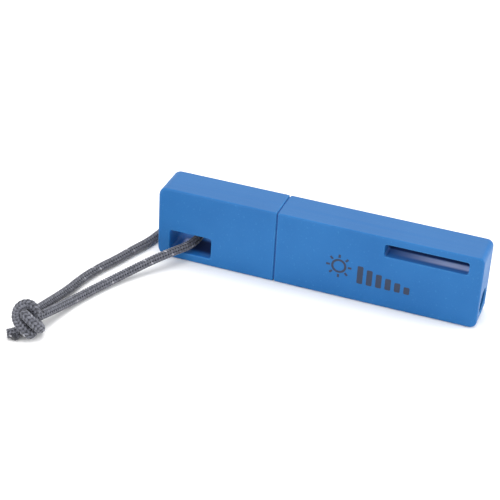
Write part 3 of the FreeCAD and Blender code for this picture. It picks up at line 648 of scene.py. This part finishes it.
finishes = {
    # The seam gasket's dark teal is partly its rubber and partly painted shade of the seam gap.
    "seamShadeRubber": dict(low=(0.003, 0.06, 0.24), high=(0.006, 0.08, 0.30), roughness=0.6, scale=900.0),
    "carrierNylon": dict(low=(0.012, 0.012, 0.014), high=(0.03, 0.03, 0.033), roughness=0.5,
                         scale=1200.0, wearTone=(0.10, 0.10, 0.11)),
    "contactNickel": dict(low=(0.62, 0.60, 0.55), high=(0.78, 0.76, 0.71), roughness=0.22, metallic=1.0,
                          scale=300.0, stretch=(1, 1, 12), wearTone=(0.85, 0.84, 0.8)),
    "springWire": dict(low=(0.60, 0.60, 0.60), high=(0.80, 0.80, 0.79), roughness=0.16, metallic=1.0,
                       scale=900.0),
    "screwSteel": dict(low=(0.16, 0.16, 0.17), high=(0.30, 0.30, 0.31), roughness=0.34, metallic=1.0,
                       scale=1500.0, wearTone=(0.5, 0.5, 0.5)),
    "boardMask": dict(low=(0.008, 0.10, 0.035), high=(0.015, 0.16, 0.06), roughness=0.35, scale=2500.0,
                      wearTone=(0.45, 0.38, 0.18)),
    "chipEpoxy": dict(low=(0.010, 0.010, 0.011), high=(0.022, 0.022, 0.024), roughness=0.48, scale=3000.0),
    "leadTin": dict(low=(0.60, 0.60, 0.58), high=(0.76, 0.76, 0.74), roughness=0.28, metallic=1.0,
                    scale=1800.0),
    "switchGrey": dict(low=(0.06, 0.06, 0.065), high=(0.10, 0.10, 0.11), roughness=0.45, scale=1800.0),
    "buttonRubber": dict(low=(0.010, 0.035, 0.10), high=(0.018, 0.05, 0.14), roughness=0.58,
                         scale=2200.0, wearTone=(0.06, 0.12, 0.25)),
    "ledEpoxy": dict(low=(0.92, 0.92, 0.86), high=(0.98, 0.98, 0.94), roughness=0.06, scale=200.0,
                     transmission=1.0, ior=1.53, bump=0.05),
    "reflectorPlate": dict(low=(0.80, 0.80, 0.81), high=(0.90, 0.90, 0.90), roughness=0.05, metallic=1.0,
                           scale=250.0, bump=0.06),
    "lensClear": dict(low=(0.94, 0.96, 0.97), high=(1.0, 1.0, 1.0), roughness=0.03, scale=300.0,
                      transmission=1.0, ior=1.58, bump=0.03),
    "sealRubber": dict(low=(0.010, 0.010, 0.010), high=(0.02, 0.02, 0.02), roughness=0.6, scale=1600.0),
    "cellSteel": dict(low=(0.60, 0.60, 0.58), high=(0.74, 0.74, 0.72), roughness=0.26, metallic=1.0,
                      scale=500.0, stretch=(8, 1, 1)),
    "cellCard": dict(low=(0.72, 0.69, 0.60), high=(0.84, 0.81, 0.74), roughness=0.8, scale=2000.0),
}
made = {name: grainMaterial(name, **values) for name, values in finishes.items()}
for nodeName, finish in {
    "seam_gasket": "seamShadeRubber", "rear_contact_holder": "carrierNylon", "carrier": "carrierNylon",
    "rear_bridge_contact": "contactNickel", "front_positive_contact": "contactNickel",
    "front_negative_contact": "contactNickel", "rear_spring": "springWire", "front_spring": "springWire",
    "holder_screws": "screwSteel", "carrier_screws": "screwSteel", "circuit_board": "boardMask",
    "driver_chip": "chipEpoxy", "chip_resistors": "chipEpoxy", "switch_plunger": "chipEpoxy",
    "driver_chip_legs": "leadTin", "led_leads": "leadTin", "switch_body": "switchGrey",
    "push_button": "buttonRubber", "led_dome": "ledEpoxy", "reflector": "reflectorPlate",
    "lens": "lensClear", "lens_seal": "sealRubber",
    "lower_cell_can": "cellSteel", "upper_cell_can": "cellSteel",
    "lower_cell_button": "cellSteel", "upper_cell_button": "cellSteel", "lower_cell_washer": "cellCard",
    "upper_cell_washer": "cellCard",
}.items():
    dress(nodeName, made[finish])


cellFilm = {
    "middle": 0.0125,      # height between the two cells, m
    "band": 0.012,         # length of the warm band, m
    "dark": (0.012, 0.013, 0.016),
    "darkHigh": (0.03, 0.032, 0.038),
    "warm": (0.42, 0.20, 0.05),
    "warmHigh": (0.55, 0.28, 0.08),
}


def wrapMaterial():
    # Printed film round a cell: a dark body with a warm band near its positive end.
    material, tree, shader, place = newMaterial("cellWrap")
    split = addNode(tree, "ShaderNodeSeparateXYZ")
    tree.links.new(place, split.inputs[0])
    low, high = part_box("lower_cell_sleeve")
    upper = mathNode(tree, "GREATER_THAN", split.outputs["Z"], cellFilm["middle"])
    towardsLamp = mathNode(tree, "GREATER_THAN", split.outputs["X"], high[0] - cellFilm["band"])
    towardsTail = mathNode(tree, "LESS_THAN", split.outputs["X"], low[0] + cellFilm["band"])
    band = mathNode(tree, "ADD", mathNode(tree, "MULTIPLY", upper, towardsTail),
                    mathNode(tree, "MULTIPLY", mathNode(tree, "SUBTRACT", 1.0, upper), towardsLamp))
    noise = addNode(tree, "ShaderNodeTexNoise", Scale=350.0, Detail=4.0)
    tree.links.new(place, noise.inputs["Vector"])
    dark = mixColour(tree, noise.outputs["Fac"], cellFilm["dark"], cellFilm["darkHigh"])
    warm = mixColour(tree, noise.outputs["Fac"], cellFilm["warm"], cellFilm["warmHigh"])
    tree.links.new(mixColour(tree, band, dark, warm), shader.inputs["Base Color"])
    tree.links.new(mathNode(tree, "ADD", 0.2, mathNode(tree, "MULTIPLY", noise.outputs["Fac"], 0.15)),
                   shader.inputs["Roughness"])
    addBump(tree, shader, noise.outputs["Fac"], 0.1, 0.00002)
    return material


wrap = wrapMaterial()
dress("lower_cell_sleeve", wrap)
dress("upper_cell_sleeve", wrap)


yarn = {
    "pitShade": (0.006, 0.007, 0.014),
    "dark": (0.025, 0.028, 0.042),
    "mid": (0.165, 0.170, 0.205),
    "fleck": (0.40, 0.40, 0.44),
}


def yarnMaterial(name, pitShadeAmount):
    material, tree, shader, place = newMaterial(name)
    tone = addNode(tree, "ShaderNodeAttribute", {"attribute_name": "strandTone"}).outputs["Fac"]
    fibres = addNode(tree, "ShaderNodeTexNoise", Scale=5200.0, Detail=3.0, Roughness=0.7)
    tree.links.new(place, fibres.inputs["Vector"])
    patches = useGroup(tree, cloudGroup, place, Scale=320.0)
    tint = mathNode(tree, "ADD", mathNode(tree, "MULTIPLY", fibres.outputs["Fac"], 0.7),
                    mathNode(tree, "MULTIPLY", patches.outputs["Mask"], 0.35), clamp=True)
    base = mixColour(tree, tint, yarn["dark"], yarn["mid"])
    base = mixColour(tree, mathNode(tree, "MULTIPLY", tone, 0.75), base, yarn["mid"])
    # The light yarn shows in some places and is worn grey in others.
    kept = addNode(tree, "ShaderNodeTexNoise", Scale=95.0, Detail=1.0)
    tree.links.new(place, kept.inputs["Vector"])
    fleck = mathNode(tree, "MULTIPLY", rampNode(tree, tone, 0.8, 0.95),
                     rampNode(tree, kept.outputs["Fac"], 0.42, 0.60))
    base = mixColour(tree, fleck, base, yarn["fleck"])
    # Painted shade: strands are darker where they dive under the others.
    rise = addNode(tree, "ShaderNodeAttribute", {"attribute_name": "strandRise"}).outputs["Fac"]
    sunk = mathNode(tree, "SUBTRACT", 1.0, rampNode(tree, rise, 0.0, 0.95))
    base = mixColour(tree, mathNode(tree, "MULTIPLY", sunk, pitShadeAmount), base, yarn["pitShade"])
    tree.links.new(base, shader.inputs["Base Color"])
    tree.links.new(mathNode(tree, "ADD", 0.55, mathNode(tree, "MULTIPLY", fibres.outputs["Fac"], 0.3)),
                   shader.inputs["Roughness"])
    shader.inputs["Sheen Weight"].default_value = 0.35
    shader.inputs["Sheen Roughness"].default_value = 0.4
    addBump(tree, shader, fibres.outputs["Fac"], 0.6, 0.00008)
    return material


yarnSurfaces = {lanyard: yarnMaterial("braidYarn", 0.95), knot: yarnMaterial("knotYarn", 0.75),
                tails: yarnMaterial("tailYarn", 0.9)}
for piece in (lanyard, knot, tails):
    piece.data.materials.append(yarnSurfaces[piece])
    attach(piece, "cap")
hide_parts("lanyard_cord")
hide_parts("lanyard_knot")
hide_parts("lanyard_tails")
print("materials made")

studio = {
    "floor": (0.90, 0.90, 0.90),
    "floorHigh": (0.94, 0.94, 0.94),
    "floorHalf": 3.0,
    "world": 0.9,
    "aim": (0, 0, 0.01),
    "lights": {            # place, size and power of each
        "topSoft": ((-0.1, 0.15, 0.9), (0.9, 0.7), 7.0),
        "rightSoft": ((0.9, 0.25, 0.35), (0.5, 0.5), 5.0),
        "frontSoft": ((-0.35, -0.9, 0.32), (0.6, 0.5), 3.3),
    },
}


def makeFloor():
    mesh = bpy.data.meshes.new("floor")
    r = studio["floorHalf"]
    mesh.from_pydata([(-r, -r, 0), (r, -r, 0), (r, r, 0), (-r, r, 0)], [], [(0, 1, 2, 3)])
    floor = bpy.data.objects.new("floor", mesh)
    bpy.context.scene.collection.objects.link(floor)
    material, tree, shader, place = newMaterial("paperFloor")
    noise = addNode(tree, "ShaderNodeTexNoise", Scale=30.0, Detail=3.0)
    tree.links.new(place, noise.inputs["Vector"])
    tree.links.new(mixColour(tree, noise.outputs["Fac"], studio["floor"], studio["floorHigh"]),
                   shader.inputs["Base Color"])
    shader.inputs["Roughness"].default_value = 0.9
    shader.inputs["Specular IOR Level"].default_value = 0.1
    mesh.materials.append(material)


def areaLight(name, place, size, power):
    data = bpy.data.lights.new(name, "AREA")
    data.shape = "RECTANGLE"
    data.size, data.size_y = size
    data.energy = power
    light = bpy.data.objects.new(name, data)
    light.location = place
    light.rotation_mode = "QUATERNION"
    light.rotation_quaternion = (Vector(studio["aim"]) - Vector(place)).to_track_quat("-Z", "Y")
    bpy.context.scene.collection.objects.link(light)


def makeWorld():
    world = bpy.data.worlds.new("studio")
    world.use_nodes = True
    world.node_tree.nodes["Background"].inputs["Color"].default_value = (1, 1, 1, 1)
    world.node_tree.nodes["Background"].inputs["Strength"].default_value = studio["world"]
    bpy.context.scene.world = world


makeFloor()
makeWorld()
for lightName, (place, size, power) in studio["lights"].items():
    areaLight(lightName, place, size, power)
view = bpy.context.scene.view_settings
view.view_transform = "Standard"
view.look = "None"

print("scene ready")
